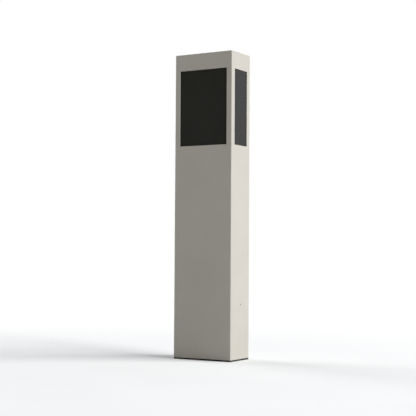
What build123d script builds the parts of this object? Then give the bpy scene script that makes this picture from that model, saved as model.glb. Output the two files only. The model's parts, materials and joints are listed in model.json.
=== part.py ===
"""Free-standing electric-vehicle charging post with a socket bay on each side.

Millimetres. The origin is the centre of the foot print on the ground.
+Z is up, the front faces -Y, and the two charging bays face +X and -X.
"""
from build123d import *
import os

# ---- driving dimensions -------------------------------------------------
WIDTH = 300.0            # over the side walls, along X
DEPTH = 170.0            # front face to rear face, along Y
HEIGHT = 1400.0          # ground to top
SHEET = 3.0              # folded aluminium sheet
CORNER_R = 3.0           # bend radius of the vertical corners
FIT = 0.05               # radial play of a pin in its bore

HALF_W = WIDTH / 2
HALF_D = DEPTH / 2
IN_X = HALF_W - SHEET    # inner face of a side wall
IN_Y = HALF_D - SHEET    # inner face of the front and rear walls

# ---- foot ---------------------------------------------------------------
GASKET_T = 7.0
PLATE_T = 12.0
PLATE_TOP = GASKET_T + PLATE_T
ANCHOR_X = 115.0
ANCHOR_Y = 50.0
ANCHOR_R = 7.0
GLAND_Y = -20.0
GLAND_BORE_R = 10.0
GLAND_BODY_R = 16.0
BRACKET_T = 6.0
BRACKET_TOP = 300.0
BRACKET_Y0, BRACKET_Y1 = -30.0, 34.0
FOOT_INNER_X = 95.0
FOOT_BOLT_R = 5.0
FOOT_HOLE_R = 5.5
FOOT_BOLT_INSET = 12.0
SHELL_SCREW_Y, SHELL_SCREW_Z = 6.0, 253.0
SHELL_SCREW_R = 3.0

# ---- lid ----------------------------------------------------------------
LID_PLAY = 0.4
LID_SCREW_R = 2.5
LID_SCREW_HEAD_R = 4.5
LID_SCREW_HEAD_H = 2.5
LID_SCREW_LENGTH = 22.0
LID_SCREW_INSET = 9.0

# ---- windows ------------------------------------------------------------
WIN_Z0, WIN_Z1 = 976.0, 1322.0
FRONT_WIN_X = 124.0      # half width of the front opening
FRONT_WIN_Z1 = 1324.5    # the front opening is a little taller than the side ones
SIDE_WIN_Y = 57.0        # half width of a side opening
PANE_LAP = 6.0           # the front pane laps the opening by this much
SEAL_T = 1.0
FRONT_PANE_T = 5.0
PANE_BACK_Y = -IN_Y + SEAL_T + FRONT_PANE_T
BOARD_Y = -66.0
BOARD_T = 1.6
FRONT_WIN = (-FRONT_WIN_X, FRONT_WIN_X, WIN_Z0, FRONT_WIN_Z1)
DISPLAY = (-62.0, 62.0, 1188.0, 1292.0)      # x0, x1, z0, z1 of the carrier
SCREEN = (-55.5, 55.5, 1198.5, 1283.5)
READER = (-38.0, 38.0, 1040.0, 1112.0)
READER_BOSS_R = 30.0
LIGHT_BAR = (-60.0, 60.0, 1303.0, 1311.0)
LAMPS, LAMP_PITCH, LAMP_R = 8, 14.0, 2.5
BOARD = (-115.0, 115.0, 985.0, 1314.0)

# ---- rear door ----------------------------------------------------------
REAR_X = 130.0           # half width of the rear opening
REAR_Z0, REAR_Z1 = 60.0, 1340.0
DOOR_GAP = 2.5
FLANGE_INSET = 19.5
FRAME_INSET = 26.5
DOOR_SEAL_W = 8.0
FLANGE_T = 1.5
FRAME_Y0, FRAME_Y1 = 61.0, 63.0
DOOR_SEAL_Y1 = 66.0
HINGE_X = -(REAR_X - DOOR_GAP - 10.0)
HINGE_Y = HALF_D - 7.0
HINGE_Z = (200.0, 700.0, 1200.0)
KNUCKLE_R = 3.6
KNUCKLE_H = 24.0
HINGE_PIN_R = 2.0
VENT_Z = (150.0, 880.0)   # bottom of each group of vent slots
VENT_ROWS, VENT_PITCH = 7, 9.0
VENT_HALF, VENT_SLOT_H = 45.0, 3.0
LOCK_X, LOCK_Z = 117.5, 760.0
LOCK_R = 7.5
LOCK_BARREL_R = 5.0
LOCK_FLANGE_R = 9.0
LOCK_BODY_Y0 = 70.5
CAM_Y0, CAM_Y1 = 66.5, 69.5
CAM_SEAT_HALF = 3.0      # half width of the square that drives the cam
DOOR_RECT = (-REAR_X + DOOR_GAP, REAR_X - DOOR_GAP, REAR_Z0 + DOOR_GAP, REAR_Z1 - DOOR_GAP)

# ---- charging bays (given for the +X side) ------------------------------
TUB_T = 3.0
BAY_STEP_X = 132.0       # ledge that carries the door seal
BAY_BACK_X = 45.0        # front face of the bay's back wall
BAY_Y0, BAY_Y1 = -51.0, 40.0
BAY_LEDGE = 6.0
BAY_DOOR_X1 = IN_X       # outer face of the door pane
BAY_PANE_T = 4.0
BAY_DOOR_GAP = 0.8
BAY_HINGE_X, BAY_HINGE_Y = 141.3, 49.0
TAIL_ROOM_Y = 58.5       # the door's hinge edge swings into this relief
BAY_PIN_R = 1.5
BUSH_R = 3.6
PIN_END = 5.0            # a pin stands this far out of the door frame
PIVOT_BLOCK_H = 14.0
PIVOT_HALF = 3.5
BAY_FRAME_X0 = BAY_STEP_X + 2.3
BAY_FRAME_X1 = BAY_DOOR_X1 - BAY_PANE_T
BAY_FRAME_Y1 = BAY_HINGE_Y - 5.0
BAY_FRAME_INSET = 2.0
SIDE_WIN = (-SIDE_WIN_Y, SIDE_WIN_Y, WIN_Z0, WIN_Z1)
BAY = (BAY_Y0, BAY_Y1, WIN_Z0 + BAY_LEDGE, WIN_Z1 - BAY_LEDGE)

# ---- socket outlets -----------------------------------------------------
SOCKET_Y = (BAY_Y0 + BAY_Y1) / 2
SOCKET_Z = 1149.0
SOCKET_FLANGE = 88.0
SOCKET_CUTOUT = 73.0     # square hole in the bay's back wall
SOCKET_FLANGE_X1 = BAY_BACK_X + 5.0
SOCKET_REAR_X = 19.0
SOCKET_SCREW_R = 2.0
BARREL_R = 36.0
COLLAR_R = 33.0          # outer wall of the gap the plug's collar enters
CORE_R = 25.5
SOCKET_FLOOR_X = SOCKET_REAR_X + 3.0
CONTACT_R, CONTACT_BORE_R = 3.6, 2.6
LOCK_PIN_R = 2.5
LOCK_PIN_X = 29.0
BOOT_X0 = 4.0
BOOT_HALF = 20.0
BOOT_NECK_H = 12.0

# ---- electrical cabinet -------------------------------------------------
MOUNT_Y0, MOUNT_Y1 = -60.0, -58.0
RAIL_Z = {"supply": 520.0, "protection": 690.0, "switching": 860.0}
RAIL_X = 120.0
RAIL_FRONT_Y = -50.5
DEVICE_H = 90.0
DEVICE_DEPTH = 44.0
NOSE_H = 45.0
NOSE_DEPTH = 16.0
STEP_Y = RAIL_FRONT_Y + DEVICE_DEPTH
NOSE_Y = STEP_Y + NOSE_DEPTH
DEVICE_GAP = 2.0
POLES = 4
POLE_PITCH = 18.0
BREAKER_W = POLES * POLE_PITCH
CONTACTOR_W = 45.0
CONTACTOR_PITCH = 11.0
METER_W = 54.0
METER_POLES, METER_PITCH = 3, 15.0
TERMINAL_RISE = 35.0     # terminal screws, above and below a device's centre
TERMINAL_R, TERMINAL_DEPTH = 3.0, 6.0
WIRE_Y = (RAIL_FRONT_Y + STEP_Y) / 2
WIRE_R = 2.0
CABLE_R = 5.5
TOGGLE_TILT = 35.0
TOGGLE_R = 7.0
TEST_BUTTON_DROP = 15.0
TOGGLE_Y = NOSE_Y - 1.0
TOGGLE_PIVOT_R = 1.5
BUTTON_HALF = 3.2
HANDLE_SHAFT_R = 4.0
HANDLE_R = 17.0

SIDES = {"right": 1, "left": -1}
PARTS = {}


# ---- small helpers ------------------------------------------------------
def block(x0, x1, y0, y1, z0, z1):
    """A plain block between two corners."""
    centre = Pos((x0 + x1) / 2, (y0 + y1) / 2, (z0 + z1) / 2)
    return centre * Box(abs(x1 - x0), abs(y1 - y0), abs(z1 - z0))


def rod_z(x, y, z0, z1, r):
    return Pos(x, y, (z0 + z1) / 2) * Cylinder(r, z1 - z0)


def rod_y(x, z, y0, y1, r):
    return Pos(x, (y0 + y1) / 2, z) * Rot(90, 0, 0) * Cylinder(r, y1 - y0)


def rod_x(y, z, x0, x1, r):
    return Pos((x0 + x1) / 2, y, z) * Rot(0, 90, 0) * Cylinder(r, x1 - x0)


def rounded_block(x0, x1, y0, y1, z0, z1, r):
    """A block with its vertical edges rounded."""
    solid = block(x0, x1, y0, y1, z0, z1)
    return fillet(solid.edges().filter_by(Axis.Z), r)


def panel(rect, y0, y1):
    """A block across Y. The rectangle is (x0, x1, z0, z1)."""
    return block(rect[0], rect[1], y0, y1, rect[2], rect[3])


def ring_y(outer, inner, y0, y1):
    """A flat rectangular ring across Y. Each rectangle is (x0, x1, z0, z1)."""
    return panel(outer, y0, y1) - panel(inner, y0 - 1, y1 + 1)


def side_panel(rect, x0, x1):
    """A block across X. The rectangle is (y0, y1, z0, z1)."""
    return block(x0, x1, rect[0], rect[1], rect[2], rect[3])


def ring_x(outer, inner, x0, x1):
    """A flat rectangular ring across X. Each rectangle is (y0, y1, z0, z1)."""
    return side_panel(outer, x0, x1) - side_panel(inner, x0 - 1, x1 + 1)


def grown(rect, by):
    """The rectangle (a0, a1, b0, b1) pushed out by a distance on all sides."""
    return (rect[0] - by, rect[1] + by, rect[2] - by, rect[3] + by)


def on_side(shape, side):
    """The +X part itself, or its mirror image for the -X side."""
    return shape if side > 0 else mirror(shape, about=Plane.YZ)


def group(shapes):
    """Several separate solids kept in one node."""
    return Compound([solid for shape in shapes for solid in shape.solids()])


def add(name, shape):
    PARTS[name] = shape


# ---- foot ---------------------------------------------------------------
def anchor_holes(z0, z1):
    return [rod_z(x, y, z0, z1, ANCHOR_R) for x in (-ANCHOR_X, ANCHOR_X) for y in (-ANCHOR_Y, ANCHOR_Y)]


def base_gasket():
    cable_way_r = 24.0
    pad = rounded_block(-HALF_W, HALF_W, -HALF_D, HALF_D, 0, GASKET_T, CORNER_R)
    for hole in anchor_holes(-1, GASKET_T + 1):
        pad -= hole
    return pad - rod_z(0, GLAND_Y, -1, GASKET_T + 1, cable_way_r)


def base_plate():
    play = 0.5
    edge_x, edge_y = IN_X - play, IN_Y - play
    plate = block(-edge_x, edge_x, -edge_y, edge_y, GASKET_T, PLATE_TOP)
    for hole in anchor_holes(GASKET_T - 1, PLATE_TOP + 1):
        plate -= hole
    for x, y in foot_bolt_places():
        plate -= rod_z(x, y, GASKET_T - 1, PLATE_TOP + 1, FOOT_HOLE_R)
    return plate - rod_z(0, GLAND_Y, GASKET_T - 1, PLATE_TOP + 1, GLAND_BODY_R)


def supply_gland():
    """Threaded body through the base plate, with its lock nut, seat and dome nut."""
    nut_r, seat_r, cap_r, dome_r, mouth_r = 21.0, 22.0, 20.0, 19.0, 13.0
    bottom, seat_t, cap_h, dome_h = 2.0, 3.0, 12.0, 10.0
    cap_z0 = PLATE_TOP + seat_t
    dome_z0 = cap_z0 + cap_h
    top = dome_z0 + dome_h
    body = rod_z(0, GLAND_Y, bottom, dome_z0 + 6, GLAND_BODY_R)
    body += extrude(Pos(0, GLAND_Y, bottom) * RegularPolygon(nut_r, 6), GASKET_T - bottom)
    body += rod_z(0, GLAND_Y, PLATE_TOP, cap_z0, seat_r)
    body += extrude(Pos(0, GLAND_Y, cap_z0) * RegularPolygon(cap_r, 6), cap_h)
    body += Pos(0, GLAND_Y, dome_z0 + dome_h / 2) * Cone(dome_r, mouth_r, dome_h)
    return body - rod_z(0, GLAND_Y, 0, top + 1, GLAND_BORE_R)


def foot_bolt_places():
    return [(side * (FOOT_INNER_X + FOOT_BOLT_INSET), y) for side in SIDES.values()
            for y in (BRACKET_Y0 + FOOT_BOLT_INSET, BRACKET_Y1 - FOOT_BOLT_INSET)]


def pedestal_bracket(side):
    """Steel angle that stands on the base plate and holds the shell's side."""
    wall = block(IN_X - BRACKET_T, IN_X, BRACKET_Y0, BRACKET_Y1, PLATE_TOP, BRACKET_TOP)
    foot = block(FOOT_INNER_X, IN_X, BRACKET_Y0, BRACKET_Y1, PLATE_TOP, PLATE_TOP + BRACKET_T)
    angle = wall + foot
    for x, y in foot_bolt_places():
        angle -= rod_z(abs(x), y, PLATE_TOP - 1, PLATE_TOP + BRACKET_T + 1, FOOT_HOLE_R)
    angle -= rod_x(SHELL_SCREW_Y, SHELL_SCREW_Z, IN_X - BRACKET_T - 1, IN_X + 1, SHELL_SCREW_R)
    return on_side(angle, side)


def foot_bolts():
    head_r, head_h = 9.0, 6.5
    z_seat = PLATE_TOP + BRACKET_T
    bolts = []
    for x, y in foot_bolt_places():
        shank = rod_z(x, y, GASKET_T, z_seat, FOOT_BOLT_R)
        bolts.append(shank + extrude(Pos(x, y, z_seat) * RegularPolygon(head_r, 6), head_h))
    return group(bolts)


def shell_screw(side):
    """Flush button-head security screw with a hexagon socket."""
    key_r, key_depth = 1.7, 2.0
    shank = rod_x(SHELL_SCREW_Y, SHELL_SCREW_Z, IN_X - BRACKET_T - 2, HALF_W, SHELL_SCREW_R)
    place = Plane.YZ * Pos(SHELL_SCREW_Y, SHELL_SCREW_Z, HALF_W - key_depth)
    socket = extrude(place * RegularPolygon(key_r, 6), key_depth + 1)
    return on_side(shank - socket, side)


# ---- shell --------------------------------------------------------------
def housing():
    """Folded sheet shell: front, sides and the frame round the rear opening."""
    shell = rounded_block(-HALF_W, HALF_W, -HALF_D, HALF_D, GASKET_T, HEIGHT, CORNER_R)
    shell -= block(-IN_X, IN_X, -IN_Y, IN_Y, GASKET_T - 1, HEIGHT + 1)
    shell -= block(-FRONT_WIN_X, FRONT_WIN_X, -HALF_D - 1, -IN_Y + 1, WIN_Z0, FRONT_WIN_Z1)
    shell -= block(-HALF_W - 1, HALF_W + 1, -SIDE_WIN_Y, SIDE_WIN_Y, WIN_Z0, WIN_Z1)
    shell -= block(-REAR_X, REAR_X, IN_Y - 1, HALF_D + 1, REAR_Z0, REAR_Z1)
    return shell - rod_x(SHELL_SCREW_Y, SHELL_SCREW_Z, -HALF_W - 1, HALF_W + 1, SHELL_SCREW_R)


def lid_screw_places():
    x, y = IN_X - LID_SCREW_INSET, IN_Y - LID_SCREW_INSET
    return [(-x, -y), (x, -y), (-x, y), (x, y)]


def countersink(x, y):
    """The cone of a screw head, flush with the top of the lid."""
    cone = Cone(LID_SCREW_R, LID_SCREW_HEAD_R, LID_SCREW_HEAD_H)
    return Pos(x, y, HEIGHT - LID_SCREW_HEAD_H / 2) * cone


def lid_screw(x, y):
    """Countersunk screw, flush with the lid, with a hexagon socket."""
    key_r, key_depth = 2.0, 2.0
    shank = rod_z(x, y, HEIGHT - LID_SCREW_LENGTH, HEIGHT - LID_SCREW_HEAD_H, LID_SCREW_R)
    screw = shank + countersink(x, y)
    return screw - extrude(Pos(x, y, HEIGHT - key_depth) * RegularPolygon(key_r, 6), key_depth + 1)


def top_lid():
    """Lid that drops in between the walls, with a stiffening skirt below."""
    skirt_t, skirt_h, skirt_inset = 2.0, 12.0, 22.0
    x, y = IN_X - LID_PLAY, IN_Y - LID_PLAY
    lid = block(-x, x, -y, y, HEIGHT - SHEET, HEIGHT)
    sx, sy = x - skirt_inset, y - skirt_inset
    skirt = block(-sx, sx, -sy, sy, HEIGHT - SHEET - skirt_h, HEIGHT - SHEET)
    skirt -= block(-sx + skirt_t, sx - skirt_t, -sy + skirt_t, sy - skirt_t, HEIGHT - 30, HEIGHT - SHEET)
    lid += skirt
    for px, py in lid_screw_places():
        lid -= rod_z(px, py, HEIGHT - 5, HEIGHT + 1, LID_SCREW_R)
        lid -= countersink(px, py)
    return lid


def corner_post(sx, sy):
    """Angle section in one corner, with a tab under the lid."""
    leg, thick, tab_t = 15.0, 2.0, 8.0
    z0, z1 = PLATE_TOP, HEIGHT - SHEET
    side_leg = block(sx * (IN_X - thick), sx * IN_X, sy * (IN_Y - leg), sy * IN_Y, z0, z1)
    face_leg = block(sx * (IN_X - leg), sx * IN_X, sy * (IN_Y - thick), sy * IN_Y, z0, z1)
    tab = block(sx * (IN_X - leg), sx * IN_X, sy * (IN_Y - leg), sy * IN_Y, z1 - tab_t, z1)
    x, y = sx * (IN_X - LID_SCREW_INSET), sy * (IN_Y - LID_SCREW_INSET)
    return side_leg + face_leg + tab - rod_z(x, y, z1 - tab_t - 1, z1 + 1, LID_SCREW_R)


# ---- front window -------------------------------------------------------
def front_pane_seal():
    """Bonding tape round the opening. A thin line of it shows at the edge."""
    showing = 1.5
    return ring_y(grown(FRONT_WIN, PANE_LAP), grown(FRONT_WIN, -showing), -IN_Y, -IN_Y + SEAL_T)


def front_pane():
    return panel(grown(FRONT_WIN, PANE_LAP), -IN_Y + SEAL_T, PANE_BACK_Y)


def display_module():
    """Display in a moulded carrier, bonded to the back of the pane."""
    recess_depth, screen_gap, screen_inset = 1.5, 0.5, 0.5
    carrier = panel(DISPLAY, PANE_BACK_Y, BOARD_Y)
    recess = panel(grown(SCREEN, screen_gap), PANE_BACK_Y - 1, PANE_BACK_Y + recess_depth)
    screen = panel(SCREEN, PANE_BACK_Y + screen_inset, PANE_BACK_Y + recess_depth)
    return carrier - recess + screen


def rfid_reader():
    """Card reader: a potted coil housing with a round boss."""
    boss_h = 2.0
    case = panel(READER, PANE_BACK_Y + boss_h, BOARD_Y)
    z = (READER[2] + READER[3]) / 2
    return case + rod_y(0, z, PANE_BACK_Y, PANE_BACK_Y + boss_h, READER_BOSS_R)


def status_light_bar():
    """Light guide with its row of lamp pockets."""
    pocket_depth = 5.0
    bar = panel(LIGHT_BAR, PANE_BACK_Y, BOARD_Y)
    z = (LIGHT_BAR[2] + LIGHT_BAR[3]) / 2
    for i in range(LAMPS):
        x = (i - (LAMPS - 1) / 2) * LAMP_PITCH
        bar -= rod_y(x, z, BOARD_Y - pocket_depth, BOARD_Y + 1, LAMP_R)
    return bar


def controller_board():
    """Control board behind the window, with its main components."""
    top = BOARD_Y + BOARD_T
    board = panel(BOARD, BOARD_Y, top)
    # centre x, centre z, width, height, thickness
    components = (
        (-80, 1250, 24, 24, 2.0),
        (80, 1230, 30, 30, 2.4),
        (75, 1120, 18, 46, 3.0),
        (-70, 1080, 40, 16, 3.5),
        (0, 1150, 34, 12, 3.8),
        (-20, 1010, 60, 12, 3.8),
        (70, 1020, 24, 20, 3.2),
    )
    for x, z, w, h, thick in components:
        board += block(x - w / 2, x + w / 2, top, top + thick, z - h / 2, z + h / 2)
    return board


# ---- rear frame and door ------------------------------------------------
def rear_frame():
    """Landing frame inside the shell that carries the door seal and hinges."""
    end_gap = 30.0
    outer = (-IN_X, IN_X, end_gap, HEIGHT - end_gap)
    return ring_y(outer, grown(DOOR_RECT, -FRAME_INSET), FRAME_Y0, FRAME_Y1)


def rear_door_seal():
    outer = grown(DOOR_RECT, -FLANGE_INSET + 3.0)
    return ring_y(outer, grown(outer, -DOOR_SEAL_W), FRAME_Y1, DOOR_SEAL_Y1)


def rear_hinge_half(z):
    """Fixed half of a lift-off hinge: a boss with its pin, on an arm on the frame."""
    boss = rod_z(HINGE_X, HINGE_Y, z - KNUCKLE_H, z, KNUCKLE_R)
    arm = block(HINGE_X + 0.5, HINGE_X + KNUCKLE_R, FRAME_Y1, HINGE_Y, z - KNUCKLE_H, z)
    return boss + arm + rod_z(HINGE_X, HINGE_Y, z - 1, z + KNUCKLE_H, HINGE_PIN_R)


def rear_door_knuckle(z):
    """Moving knuckle: a boss on the inner face of the door, on the same pin."""
    play = 0.4
    z0, z1 = z + play, z + play + KNUCKLE_H
    boss = rod_z(HINGE_X, HINGE_Y, z0, z1, KNUCKLE_R)
    boss += block(HINGE_X - KNUCKLE_R, HINGE_X + KNUCKLE_R, HINGE_Y, IN_Y, z0, z1)
    return boss - rod_z(HINGE_X, HINGE_Y, z0 - 1, z1 + 1, HINGE_PIN_R + FIT)


def rear_door():
    """Flush sheet door with return flanges and two groups of vent slots."""
    flange = grown(DOOR_RECT, -FLANGE_INSET)
    seal_play = 0.3
    door = panel(DOOR_RECT, IN_Y, HALF_D)
    door += ring_y(flange, grown(flange, -FLANGE_T), DOOR_SEAL_Y1 + seal_play, IN_Y)
    for bottom in VENT_Z:
        for row in range(VENT_ROWS):
            z = bottom + row * VENT_PITCH
            door -= block(-VENT_HALF, VENT_HALF, IN_Y - 1, HALF_D + 1, z, z + VENT_SLOT_H)
    return door - rod_y(LOCK_X, LOCK_Z, IN_Y - 1, HALF_D + 1, LOCK_R)


def rear_lock_body():
    """Quarter-turn lock case, flush outside, with a collar inside the door."""
    case = rod_y(LOCK_X, LOCK_Z, LOCK_BODY_Y0, HALF_D, LOCK_R)
    case += rod_y(LOCK_X, LOCK_Z, IN_Y - 3, IN_Y, LOCK_FLANGE_R)
    return case - rod_y(LOCK_X, LOCK_Z, LOCK_BODY_Y0 - 1, HALF_D + 1, LOCK_BARREL_R + FIT)


def cam_seat(y0, y1):
    """Square that joins the barrel and the cam."""
    half = CAM_SEAT_HALF
    return block(LOCK_X - half, LOCK_X + half, y0, y1, LOCK_Z - half, LOCK_Z + half)


def rear_lock_barrel():
    """Turning barrel with a triangular key socket and a square cam seat."""
    shoulder, recess, seat_end = 0.5, 0.5, 0.3
    key_r, key_depth = 3.6, 6.0
    barrel = rod_y(LOCK_X, LOCK_Z, CAM_Y1 + shoulder, HALF_D - recess, LOCK_BARREL_R)
    barrel += cam_seat(CAM_Y0 - seat_end, CAM_Y1 + shoulder)
    place = Plane.XZ * Pos(LOCK_X, LOCK_Z, -(HALF_D - key_depth))
    return barrel - extrude(place * RegularPolygon(key_r, 3), -key_depth - 1)


def rear_lock_cam():
    """Cam that stands upright when unlocked and swings behind the shell's edge."""
    cam_w, cam_l = 10.0, 18.0
    half = cam_w / 2
    cam = block(LOCK_X - half, LOCK_X + half, CAM_Y0, CAM_Y1, LOCK_Z - half, LOCK_Z + cam_l)
    return cam - cam_seat(CAM_Y0 - 1, CAM_Y1 + 1)


# ---- charging bays ------------------------------------------------------
def socket_square(width):
    """A square of that width on the socket's centre, as (y0, y1, z0, z1)."""
    return grown((SOCKET_Y, SOCKET_Y, SOCKET_Z, SOCKET_Z), width / 2)


def socket_screw_places():
    half = (SOCKET_FLANGE + SOCKET_CUTOUT) / 4
    return [(SOCKET_Y + i * half, SOCKET_Z + j * half) for i in (-1, 1) for j in (-1, 1)]


def bay_tub(side):
    """Moulded tub: a shallow rim for the door, a ledge, and the deep bay."""
    tub = side_panel(grown(SIDE_WIN, TUB_T), BAY_STEP_X - TUB_T, IN_X)
    tub += side_panel(grown(BAY, TUB_T), BAY_BACK_X - TUB_T, BAY_STEP_X)
    tub -= side_panel(SIDE_WIN, BAY_STEP_X, IN_X + 1)
    tub -= side_panel((0, TAIL_ROOM_Y, WIN_Z0, WIN_Z1), BAY_STEP_X, IN_X + 1)
    tub -= side_panel(BAY, BAY_BACK_X, BAY_STEP_X + 1)
    tub -= side_panel(socket_square(SOCKET_CUTOUT), BAY_BACK_X - TUB_T - 1, BAY_BACK_X + 1)
    tub -= rod_z(BAY_HINGE_X, BAY_HINGE_Y, WIN_Z0 - TUB_T - 1, WIN_Z1 + TUB_T + 1, BUSH_R)
    for y, z in socket_screw_places():
        tub -= rod_x(y, z, BAY_BACK_X - TUB_T - 1, BAY_BACK_X + 1, SOCKET_SCREW_R)
    return on_side(tub, side)


def bay_seal(side):
    seal_t = 2.0
    outer = (-SIDE_WIN_Y + 1, BAY_FRAME_Y1 + 0.5, WIN_Z0 + 1, WIN_Z1 - 1)
    return on_side(ring_x(outer, BAY, BAY_STEP_X, BAY_STEP_X + seal_t), side)


def bay_pane(side):
    rect = grown(SIDE_WIN, -BAY_DOOR_GAP)
    return on_side(side_panel(rect, BAY_FRAME_X1, BAY_DOOR_X1), side)


def bay_door_frame(side):
    """Inner frame bonded to the pane, with a pivot block at each end."""
    wall = 4.0
    low, high = WIN_Z0 + BAY_FRAME_INSET, WIN_Z1 - BAY_FRAME_INSET
    outer = (-SIDE_WIN_Y + BAY_FRAME_INSET, BAY_FRAME_Y1, low, high)
    frame = ring_x(outer, grown(outer, -wall), BAY_FRAME_X0, BAY_FRAME_X1)
    for z0 in (low, high - PIVOT_BLOCK_H):
        rect = (BAY_FRAME_Y1, BAY_HINGE_Y + PIVOT_HALF, z0, z0 + PIVOT_BLOCK_H)
        frame += side_panel(rect, BAY_HINGE_X - PIVOT_HALF, BAY_FRAME_X1)
    frame -= rod_z(BAY_HINGE_X, BAY_HINGE_Y, WIN_Z0, WIN_Z1, BAY_PIN_R)
    return on_side(frame, side)


def bay_door_pins(side):
    """Upper and lower pivot pins, pressed into the frame's pivot blocks."""
    low, high = WIN_Z0 + BAY_FRAME_INSET, WIN_Z1 - BAY_FRAME_INSET
    spans = ((low - PIN_END, low + PIVOT_BLOCK_H), (high - PIVOT_BLOCK_H, high + PIN_END))
    pins = [rod_z(BAY_HINGE_X, BAY_HINGE_Y, z0, z1, BAY_PIN_R) for z0, z1 in spans]
    return group([on_side(pin, side) for pin in pins])


def bay_hinge_bushes():
    bushes = []
    for side in SIDES.values():
        for z0 in (WIN_Z0 - TUB_T, WIN_Z1):
            bush = rod_z(BAY_HINGE_X, BAY_HINGE_Y, z0, z0 + TUB_T, BUSH_R)
            bush -= rod_z(BAY_HINGE_X, BAY_HINGE_Y, z0 - 1, z0 + TUB_T + 1, BAY_PIN_R + FIT)
            bushes.append(on_side(bush, side))
    return group(bushes)


# ---- socket outlets -----------------------------------------------------
def socket_flange(side):
    """Square front plate of the outlet, open in the middle for the plug."""
    corner_r = 4.0
    plate = side_panel(socket_square(SOCKET_FLANGE), BAY_BACK_X, SOCKET_FLANGE_X1)
    plate = fillet(plate.edges().filter_by(Axis.X), corner_r)
    plate -= rod_x(SOCKET_Y, SOCKET_Z, BAY_BACK_X - 1, SOCKET_FLANGE_X1 + 1, COLLAR_R)
    for y, z in socket_screw_places():
        plate -= rod_x(y, z, BAY_BACK_X - 1, SOCKET_FLANGE_X1 + 1, SOCKET_SCREW_R)
    return on_side(plate, side)


def socket_barrel(side):
    """Round cup behind the flange that takes the plug's collar."""
    barrel = rod_x(SOCKET_Y, SOCKET_Z, SOCKET_REAR_X, BAY_BACK_X, BARREL_R)
    barrel -= rod_x(SOCKET_Y, SOCKET_Z, SOCKET_FLOOR_X, BAY_BACK_X + 1, COLLAR_R)
    barrel -= rod_z(LOCK_PIN_X, SOCKET_Y, SOCKET_Z + COLLAR_R - 4, SOCKET_Z + BARREL_R + 1, LOCK_PIN_R + FIT)
    return on_side(barrel, side)


def contact_places():
    """Five power contacts and two small ones, as a Type 2 outlet has them."""
    rows = ((11.5, (-8.5, 8.5)), (0.0, (-17.0, 0.0, 17.0)), (-13.0, (-8.5, 8.5)))
    return [(SOCKET_Y + y, SOCKET_Z + z) for z, ys in rows for y in ys]


def socket_core(side):
    """Insulating core with a flat on top and a chamber for each contact."""
    flat = CORE_R - 4.0
    core = rod_x(SOCKET_Y, SOCKET_Z, SOCKET_FLOOR_X, SOCKET_FLANGE_X1 - 2, CORE_R)
    core -= block(SOCKET_REAR_X, SOCKET_FLANGE_X1, SOCKET_Y - CORE_R, SOCKET_Y + CORE_R,
                  SOCKET_Z + flat, SOCKET_Z + CORE_R + 1)
    for y, z in contact_places():
        core -= rod_x(y, z, SOCKET_FLOOR_X - 1, SOCKET_FLANGE_X1, CONTACT_R)
    return on_side(core, side)


def socket_contacts():
    sleeves = []
    for side in SIDES.values():
        for y, z in contact_places():
            sleeve = rod_x(y, z, SOCKET_FLOOR_X, SOCKET_FLANGE_X1 - 6, CONTACT_R)
            sleeve -= rod_x(y, z, SOCKET_FLOOR_X + 3, SOCKET_FLANGE_X1, CONTACT_BORE_R)
            sleeves.append(on_side(sleeve, side))
    return group(sleeves)


def socket_screws():
    head_r, head_h = 3.4, 1.8
    screws = []
    for side in SIDES.values():
        for y, z in socket_screw_places():
            screw = rod_x(y, z, BAY_BACK_X - 8, SOCKET_FLANGE_X1, SOCKET_SCREW_R)
            screw += rod_x(y, z, SOCKET_FLANGE_X1, SOCKET_FLANGE_X1 + head_h, head_r)
            screws.append(on_side(screw, side))
    return group(screws)


def socket_lock_actuator(side):
    """Motor case on top of the barrel, with a guide for the locking pin."""
    half, height, thick, guide = 14.0, 42.0, 20.5, 20.0
    z0 = SOCKET_Z + BARREL_R
    x1 = BAY_BACK_X - TUB_T - 0.5
    case = block(x1 - thick, x1, SOCKET_Y - half, SOCKET_Y + half, z0, z0 + height)
    case -= rod_z(LOCK_PIN_X, SOCKET_Y, z0 - 1, z0 + guide, LOCK_PIN_R + FIT)
    return on_side(case, side)


def socket_lock_pin(side):
    """Steel pin that drops into the collar gap to hold a plug."""
    tip = SOCKET_Z + COLLAR_R + 0.8
    return on_side(rod_z(LOCK_PIN_X, SOCKET_Y, tip, SOCKET_Z + BARREL_R + 19, LOCK_PIN_R), side)


def socket_boot(side):
    """Rubber boot over the back of the socket, with a cable neck below."""
    corner_r, neck_wall = 5.0, 1.8
    boot = side_panel(socket_square(2 * BOOT_HALF), BOOT_X0, SOCKET_REAR_X)
    boot = fillet(boot.edges().filter_by(Axis.X), corner_r)
    neck_x = (BOOT_X0 + SOCKET_REAR_X) / 2
    bottom = SOCKET_Z - BOOT_HALF
    boot += rod_z(neck_x, SOCKET_Y, bottom - BOOT_NECK_H, bottom + 2, CABLE_R + neck_wall)
    return on_side(boot, side)


# ---- cables and wires ---------------------------------------------------
def tube(points, radii, r):
    """Round cable along straight runs joined by tangent arcs."""
    path = FilletPolyline(*points, radius=radii)
    start = Vector(*points[0])
    section = Plane(origin=start, z_dir=Vector(*points[1]) - start) * Circle(r)
    return sweep(section, path=path)


def charge_cable(side):
    """Power cable from a contactor's top terminals to the back of a socket."""
    x_low = DEVICE_GAP + CONTACTOR_W / 2
    x_high = (BOOT_X0 + SOCKET_REAR_X) / 2
    z_start = RAIL_Z["switching"] + DEVICE_H / 2
    z_end = SOCKET_Z - BOOT_HALF - BOOT_NECK_H
    rise, drop, bend_r = 62.0, 80.0, 70.0
    points = [(x_low, WIRE_Y, z_start), (x_low, WIRE_Y, z_start + rise),
              (x_high, SOCKET_Y, z_end - drop), (x_high, SOCKET_Y, z_end)]
    return on_side(tube(points, [bend_r, bend_r], CABLE_R), side)


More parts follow.
